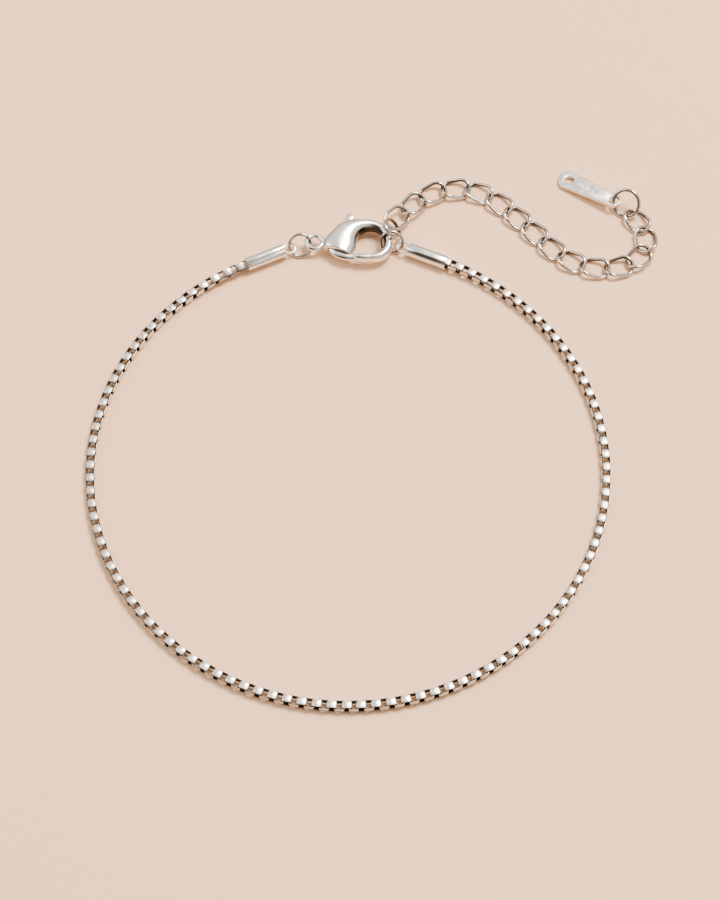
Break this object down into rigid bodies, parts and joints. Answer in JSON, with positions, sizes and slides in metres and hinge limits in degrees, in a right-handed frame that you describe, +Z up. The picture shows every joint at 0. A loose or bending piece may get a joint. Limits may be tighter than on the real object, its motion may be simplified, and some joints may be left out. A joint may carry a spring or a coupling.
{
  "type": "venetian chain bracelet",
  "caption": "Fine box-link chain bracelet lying fastened in a loop, with folded end caps, a lobster clasp, an extender chain and a small flat end tag.",
  "frame": {"origin": "the middle of the bounding box on the floor that the bracelet lies on", "axes": "+Z up, +Y from the loop's far side towards the clasp, +X towards the extender chain and its tag"},
  "size_m": [0.0612, 0.0642, 0.0029],
  "materials": {
    "box_chain_left": "polished silver",
    "box_chain_right": "polished silver",
    "end_cap_left": "polished silver",
    "end_cap_right": "polished silver",
    "jump_ring_left": "polished silver",
    "jump_ring_right": "polished silver",
    "clasp_body": "polished silver",
    "clasp_lever": "polished silver",
    "lever_rivet": "polished silver",
    "extender": "polished silver",
    "tag_ring": "polished silver",
    "end_tag": "polished silver"
  },
  "bodies": {
    "bracelet": {"box_chain_left": "box_chain_left", "box_chain_right": "box_chain_right", "end_cap_left": "end_cap_left", "end_cap_right": "end_cap_right", "jump_ring_left": "jump_ring_left", "jump_ring_right": "jump_ring_right", "clasp_body": "clasp_body", "lever_rivet": "lever_rivet", "extender_link_01": "extender", "extender_link_02": "extender", "extender_link_03": "extender", "extender_link_04": "extender", "extender_link_05": "extender", "extender_link_06": "extender", "extender_link_07": "extender", "extender_link_08": "extender", "extender_link_09": "extender", "extender_link_10": "extender", "extender_link_11": "extender", "extender_link_12": "extender", "extender_link_13": "extender", "extender_link_14": "extender", "extender_link_15": "extender", "extender_link_16": "extender", "tag_ring": "tag_ring", "end_tag": "end_tag"},
    "lever": {"clasp_lever": "clasp_lever"}
  },
  "joints": [
    {"name": "lever_hinge", "type": "hinge", "parent": "bracelet", "child": "lever", "pos_m": [-0.00473, 0.02223, 0.00112], "axis": [0, 0, 1], "range_deg": [0, 20], "stiffness_Nm_per_rad": 0.002, "springref_deg": -17.19}
  ]
}
